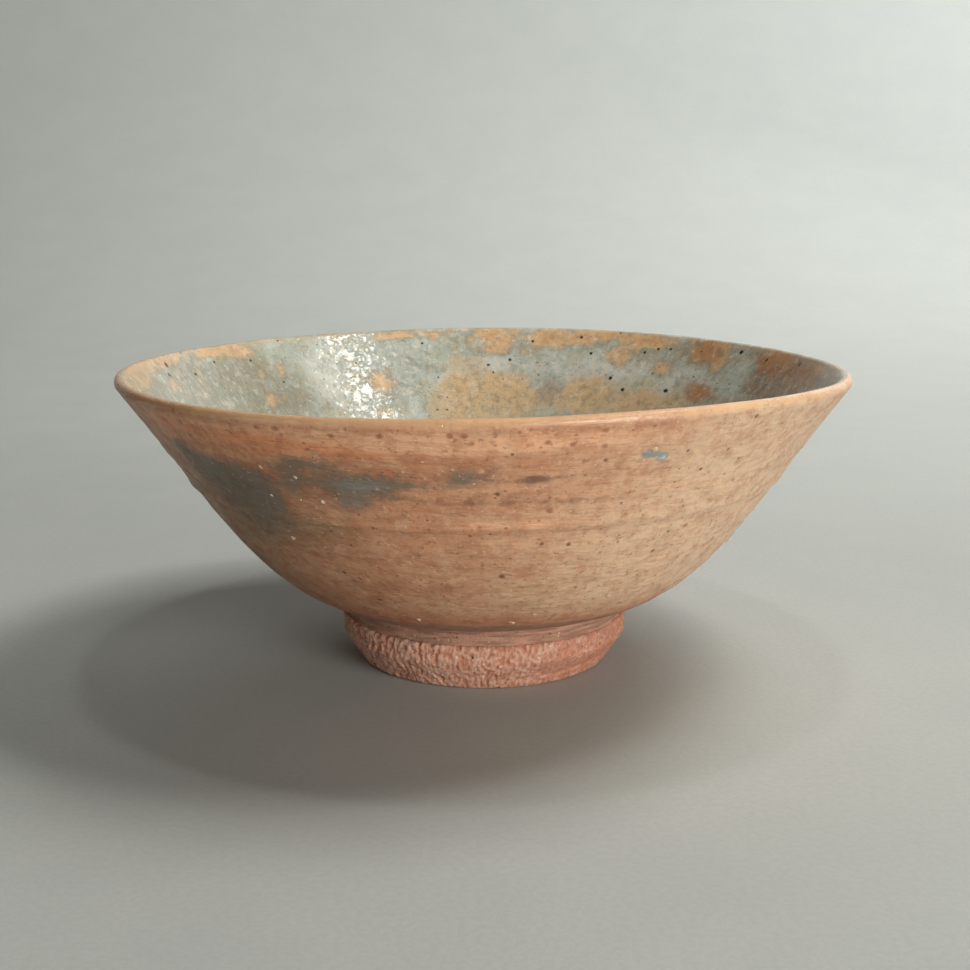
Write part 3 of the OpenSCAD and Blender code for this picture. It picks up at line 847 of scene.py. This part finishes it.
def outerGlaze():
    mat, shader, at = startMaterial("woodAshGlazeOverIronClay")
    look = outerLook
    wrap = aroundWall(mat, at)
    clouds = lumps(mat, at, 16, 0.42, 0.60, detail=5)
    bands = lumps(mat, wrap, 4, 0.42, 0.62, detail=5, stretch=(9, 9, 1))
    fineBands = lumps(mat, wrap, 1.0, 0.44, 0.64, stretch=(6, 6, 1))
    mottle = lumps(mat, at, 3.0, 0.45, 0.62, detail=8, rough=0.72)
    paleMottle = lumps(mat, wrap, 4.2, 0.50, 0.66, detail=8, stretch=(1.6, 1.6, 1), rough=0.72)
    freckle = lumps(mat, at, 1.3, 0.60, 0.70, detail=3)
    paleFreckle = lumps(mat, at, 1.1, 0.64, 0.72, detail=2)
    sand = add(mat, "Attribute", attribute_name="sand").outputs["Fac"]
    lipMark = add(mat, "Attribute", attribute_name="lip").outputs["Fac"]
    olive = patches(mat, at, "olive", 7, 1.3, 0.20, 0.95)
    smoke = patches(mat, at, "smoke", 2.6, 3.4, 0.05, 1.20)
    smokeRim = patches(mat, at, "smoke", 1.8, 3.8, 0.0, 1.20)
    smokeHeart = patches(mat, at, "smokeHeart", 2.0, 2.4, 0.1, 1.3)
    darkMarksAndRidgeShadow = patches(mat, wrap, "darkMarksAndRidgeShadow", 4, 1.6, 0.3, 0.85)
    bloomAndRidgeHighlight = patches(mat, wrap, "bloomAndRidgeHighlight", 6, 0.9, 0.25, 0.95)
    ember = patches(mat, wrap, "ember", 3, 1.6, 0.15, 0.95)
    bareEdge = patches(mat, wrap, "bareEdge", 3, 0.35, 0.35, 0.70)
    blister = patches(mat, at, "blister", 1.5, 0.5, 0.30, 0.60)
    blisterHighlight = patches(mat, at, "blisterHighlight", 1.5, 0.5, 0.35, 0.75)
    iron = scatter(mat, at, 2.4, 0.42, 0.5)
    rustDots = scatter(mat, at, 1.9, 0.42, 0.6)
    pale = scatter(mat, at, 1.7, 0.30, 0.7)
    height = add(mat, "SeparateXYZ", {"Vector": at}).outputs["Z"]
    upper = add(mat, "MapRange", {"Value": height, "From Min": 15 * mm, "From Max": 25 * mm}, **softStep)
    low = add(mat, "MapRange", {"Value": upper.outputs["Result"], "From Min": 1.0, "From Max": 0.0},
              **softStep).outputs["Result"]
    base = layered(mat, look, "orange", [
        (clouds, 0.35, "rust"),
        (sand, 1, "sandy"),
        (low, 0.75, "lowClay"),
        # lighter orange at the lip, with a painted highlight on the ridge
        (bloomAndRidgeHighlight, 1, "bloomAndRidgeHighlight"),
        (ember, 0.8, "ember"),
        (olive, 0.62, "olive"),
        (bands, 0.22, "lineLight"),
        (fineBands, 0.22, "lineShade"),
        (mottle, 0.40, "rust"),
        (paleMottle, 0.32, "lineLight"),
        # dark marks, with a painted shadow under the ridge
        (darkMarksAndRidgeShadow, 0.75, "darkMarksAndRidgeShadow"),
        (smokeRim, 0.42, "smokeEdge"),
        (smoke, 0.58, "smoke"),
        (smokeHeart, 0.75, "smokeHeart"),
        (blister, 0.9, "blister"),
        # painted highlight on top of the blister
        (blisterHighlight, 0.9, "blisterHighlight"),
        (rustDots, 0.55, "rustSpot"),
        (freckle, 0.45, "rustSpot"),
        (paleFreckle, 0.40, "grain"),
        (pale, 0.65, "grain"),
        (lipMark, 0.60, "lip"),
        (placed(mat, at, look["rustSpots"]), 0.65, "rustSpot"),
        (iron, 0.60, "iron"),
        (placed(mat, at, look["ironSpots"]), 0.75, "iron"),
        (bareEdge, 0.85, "neckEdge"),
    ])
    satin = add(mat, "MapRange", {"Value": mottle, "To Min": 0.44, "To Max": 0.58},
                **softStep).outputs["Result"]
    gloss = add(mat, "Math", {0: lipMark, 1: -0.34, 2: satin}, operation="MULTIPLY_ADD").outputs[0]
    grit = add(mat, "TexNoise", {"Vector": at, "Scale": 1000 / 1.1, "Detail": 5.0,
                                 "Roughness": 0.6}).outputs["Fac"]
    pits = scatter(mat, at, 1.6, 0.35, 0.6)
    return finished(mat, shader, {"Base Color": base, "Roughness": gloss, "IOR": 1.5},
                    grit, [(pits, -0.6), (fineBands, 0.5)], 0.12, 0.9)


# Thick, glossy ash glaze that pooled celadon grey-green and broke ochre over the throwing marks.
# The eye sees a wet shine, soft blue-grey depth, orange islands with ragged edges and black iron specks.
innerLook = {
    "celadon": "#A9AEA2", "pale": "#C8CEC4", "deep": "#777C6F", "green": "#8F9478", "ochre": "#D0A97C",
    "ochreCore": "#BF8150", "ochreLight": "#E9C9A0", "tan": "#CDAC82", "tanDeep": "#9C7A55",
    "mauve": "#A08B7D", "dim": "#86644A", "iron": "#15120F", "rust": "#75492F", "grain": "#E6DFD0",
    "lip": "#CBA077", "rim": "#8E7352", "paintedLightTint": "#CFCDC2", "ashen": "#82837A", "khaki": "#8C8468",
    "burnt": "#AA6C3C",
    "specks": [(80, 59.4, 0.5), (84.5, 55.1, 0.55), (89.2, 53.8, 0.5), (70, 60.7, 0.5),
               (67.2, 57.1, 0.5), (55.5, 58.2, 0.45), (52.8, 59.2, 0.5), (50, 59.5, 0.45),
               (61.3, 51.7, 0.6), (57.5, 49.5, 0.6), (46.8, 50.2, 0.7), (167, 60.5, 0.8),
               (168.5, 58.6, 0.7), (160, 57.5, 0.5), (152.5, 59.2, 0.45), (143, 58.5, 0.5),
               (33, 60.8, 0.7), (25, 60.2, 0.6), (14, 60.7, 0.6), (103, 59.3, 0.45)],
}


def innerGlaze():
    mat, shader, at = startMaterial("poolingCeladonAshGlaze")
    look = innerLook
    wrap = aroundWall(mat, at)
    drift = lumps(mat, at, 17, 0.42, 0.58, detail=5)
    depth = lumps(mat, at, 6, 0.44, 0.60, detail=7)
    streaks = lumps(mat, wrap, 0.9, 0.46, 0.62, stretch=(1, 1, 2))
    crumb = lumps(mat, at, 2.0, 0.47, 0.60, detail=8, rough=0.72)
    paleCrumb = lumps(mat, at, 2.6, 0.53, 0.64, detail=8, rough=0.72)
    ochre = patches(mat, at, "ochre", 3.6, 2.4, 0.40, 0.86)
    ochreRim = patches(mat, at, "ochre", 3.6, 2.4, 0.12, 0.50)
    ochreCore = patches(mat, at, "ochre", 2.4, 2.6, 0.80, 1.45)
    tan = patches(mat, at, "tan", 6, 2.0, 0.05, 0.70)
    tanDeep = patches(mat, at, "tan", 4, 2.8, 0.95, 1.6)
    mauve = patches(mat, at, "mauve", 4, 1.4, 0.30, 1.0)
    dim = patches(mat, at, "dim", 7, 1.6, 0.20, 1.0)
    paintedLightAndSheen = patches(mat, at, "paintedLightAndSheen", 7, 0.9, 0.1, 0.9)
    ashen = patches(mat, at, "ashen", 6, 1.0, 0.1, 0.8)
    burnt = patches(mat, wrap, "burnt", 2.6, 2.2, 0.10, 0.95)
    lipMark = add(mat, "Attribute", attribute_name="lip").outputs["Fac"]
    iron = scatter(mat, at, 2.3, 0.36, 0.5)
    rust = scatter(mat, at, 1.6, 0.34, 0.6)
    pale = scatter(mat, at, 1.5, 0.26, 0.7)
    base = layered(mat, look, "celadon", [
        (drift, 0.65, "pale"),
        (depth, 0.42, "green"),
        (ashen, 0.80, "ashen"),
        # painted light and sheen on the inside wall
        (paintedLightAndSheen, 0.70, "paintedLightTint"),
        # painted shade on the right inside wall
        (dim, 0.78, "dim"),
        (tan, 0.92, "tan"),
        (tanDeep, 0.45, "tanDeep"),
        (mauve, 0.7, "mauve"),
        (ochreRim, 0.40, "rim"),
        (ochre, 0.92, "ochre"),
        (ochreCore, 0.50, "ochreCore"),
        (ashen, 0.46, "khaki"),
        (burnt, 0.70, "burnt"),
        (streaks, 0.16, "ochreLight"),
        (crumb, 0.36, "deep"),
        (paleCrumb, 0.30, "grain"),
        (rust, 0.50, "rust"),
        (pale, 0.55, "grain"),
        (lipMark, 0.70, "lip"),
        (iron, 0.80, "iron"),
        (placed(mat, at, look["specks"], True), 1, "iron"),
    ])
    wet = add(mat, "MapRange", {"Value": crumb, "To Min": 0.07, "To Max": 0.15},
              **softStep).outputs["Result"]
    dull = add(mat, "Math", {0: ochre, 1: 0.24, 2: wet}, operation="MULTIPLY_ADD").outputs[0]
    swell = add(mat, "TexNoise", {"Vector": at, "Scale": 1000 / 3.0, "Detail": 3.0,
                                  "Roughness": 0.6}).outputs["Fac"]
    pits = scatter(mat, at, 1.5, 0.34, 0.6)
    return finished(mat, shader, {"Base Color": base, "Roughness": dull, "IOR": 1.5},
                    swell, [(pits, -0.25), (crumb, 0.12)], 0.19, 0.9)


# Bare coarse stoneware: trimmed when leather-hard, which tore it into short ridges, and fired red.
# The eye sees a dry brick-pink crust; its pale tips and dark gaps are painted light and shade that follow
# the torn relief.
footLook = {
    "brick": "#CC8D75", "orange": "#D07A50", "pink": "#D9A48A", "crestLight": "#F0CFB8", "gap": "#4E2F26",
    "dark": "#84573F", "grain": "#F0DCC8", "iron": "#2B1C16", "crumbLight": "#E0B498",
}


def footClay():
    mat, shader, at = startMaterial("bareTornStoneware")
    look = footLook
    wrap = aroundWall(mat, at)
    crest = add(mat, "Attribute", attribute_name="crest").outputs["Fac"]
    shade = add(mat, "Attribute", attribute_name="shade").outputs["Fac"]
    patch = lumps(mat, at, 6, 0.36, 0.64, detail=3)
    blush = lumps(mat, at, 3, 0.40, 0.66)
    crumb = lumps(mat, at, 0.8, 0.50, 0.60, detail=6, rough=0.7)
    paleCrumb = lumps(mat, wrap, 0.9, 0.54, 0.61, detail=6, rough=0.72)
    # painted light and shade: the crests of the tears lighter, the gaps between them darker
    crestHighlight = add(mat, "MapRange", {"Value": crest, "From Min": 0.78}, **softStep).outputs["Result"]
    gapShade = add(mat, "MapRange", {"Value": crest, "From Min": 0.44, "From Max": 0.10},
               **softStep).outputs["Result"]
    specks = scatter(mat, at, 1.1, 0.30, 0.8)
    iron = scatter(mat, at, 2.2, 0.36, 0.5)
    base = layered(mat, look, "brick", [
        (patch, 0.7, "orange"),
        (blush, 0.55, "pink"),
        (shade, 0.8, "dark"),
        (crumb, 0.46, "dark"),
        (paleCrumb, 0.50, "crumbLight"),
        (crestHighlight, 0.40, "crestLight"),
        (gapShade, 0.85, "gap"),
        (specks, 0.7, "grain"),
        (iron, 0.8, "iron"),
    ])
    grit = add(mat, "TexNoise", {"Vector": at, "Scale": 1000 / 0.8, "Detail": 8.0,
                                 "Roughness": 0.75}).outputs["Fac"]
    return finished(mat, shader, {"Base Color": base, **bareClay}, grit, [], 0.5, 1.0)


# The same stoneware where the glaze stops, browned by the iron that the glaze drew out.
# The eye sees a matte mauve-brown neck with turned lines and pale grains.
bodyLook = {
    "brown": "#B88C74", "warm": "#BA8A72", "under": "#B0704F", "line": "#5D4037", "crumb": "#A97E69",
    "pit": "#3A261F", "grain": "#D8B396",
}


def bodyClay():
    mat, shader, at = startMaterial("bareIronStoneware")
    look = bodyLook
    wrap = aroundWall(mat, at)
    lines = lumps(mat, wrap, 0.9, 0.38, 0.64, detail=3, stretch=(18, 18, 0.8))
    crumb = lumps(mat, at, 0.7, 0.40, 0.68)
    warm = lumps(mat, at, 5, 0.38, 0.66, detail=3)
    grains = scatter(mat, at, 1.0, 0.28, 0.8)
    pits = scatter(mat, at, 1.1, 0.30, 0.7)
    height = add(mat, "SeparateXYZ", {"Vector": at}).outputs["Z"]
    above = add(mat, "MapRange", {"Value": height, "From Min": 8.0 * mm, "From Max": 9.6 * mm}, **softStep)
    under = add(mat, "Math", {0: 1.0, 1: above.outputs["Result"]}, operation="SUBTRACT").outputs[0]
    base = layered(mat, look, "brown", [
        (warm, 0.6, "warm"),
        (under, 0.8, "under"),
        (lines, 0.50, "line"),
        (crumb, 0.30, "crumb"),
        (pits, 0.7, "pit"),
        (grains, 0.75, "grain"),
    ])
    grit = add(mat, "TexNoise", {"Vector": at, "Scale": 1000 / 0.5, "Detail": 4.0,
                                 "Roughness": 0.6}).outputs["Fac"]
    return finished(mat, shader, {"Base Color": base, **bareClay}, grit, [(lines, 0.5)], 0.35, 1.0)


# Feldspar and quartz that half melted in the kiln. The eye sees small milky beads with a dull shine.
feldsparLook = {"stone": "#B8977A", "milk": "#D6BC9E", "rust": "#9B6746"}


def feldspar():
    mat, shader, at = startMaterial("meltedFeldspar")
    look = feldsparLook
    milk = lumps(mat, at, 0.8, 0.36, 0.66)
    rusty = lumps(mat, at, 0.5, 0.56, 0.72, detail=3)
    base = layered(mat, look, "stone", [
        (milk, 0.7, "milk"),
        (rusty, 0.6, "rust"),
    ])
    dull = add(mat, "MapRange", {"Value": milk, "To Min": 0.30, "To Max": 0.45},
               **softStep).outputs["Result"]
    return finished(mat, shader, {"Base Color": base, "Roughness": dull, "IOR": 1.52}, milk, [], 0.05, 0.6)


# Matte grey backdrop card, rolled from pulp. The eye sees a faint, soft mottle.
cardLook = {"grey": "#ABADA9", "pale": "#B3B5AE", "fibre": "#9C9F99"}


def greyCard():
    mat, shader, at = startMaterial("matteGreyCard")
    look = cardLook
    mottle = lumps(mat, at, 30, 0.3, 0.7)
    fibre = lumps(mat, at, 1.2, 0.4, 0.62, detail=3)
    base = layered(mat, look, "grey", [
        (mottle, 0.35, "pale"),
        (fibre, 0.22, "fibre"),
    ])
    return finished(mat, shader, {"Base Color": base, "Roughness": 0.85, "Specular IOR Level": 0.3},
                    fibre, [], 0.05, 0.3)


for piece, finish in ((outerCoat, outerGlaze()), (innerCoat, innerGlaze()), (clayBody, bodyClay()),
                      (footRing, footClay()), (stones, feldspar()), (paleCard, greyCard())):
    piece.data.materials.clear()
    piece.data.materials.append(finish)
print("materials laid on")


# attach each piece to the root and hide the imported part that it replaces
for piece, node, finish in (
    (outerCoat, "outer_glaze", "outer_glaze"),
    (innerCoat, "inner_glaze", "inner_glaze"),
    (clayBody, "bowl_wall", "body_clay"),
    (footRing, "foot_ring", "foot_clay"),
    (stones, "stone_grains", "feldspar"),
):
    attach(piece, "root")
    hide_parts(node)
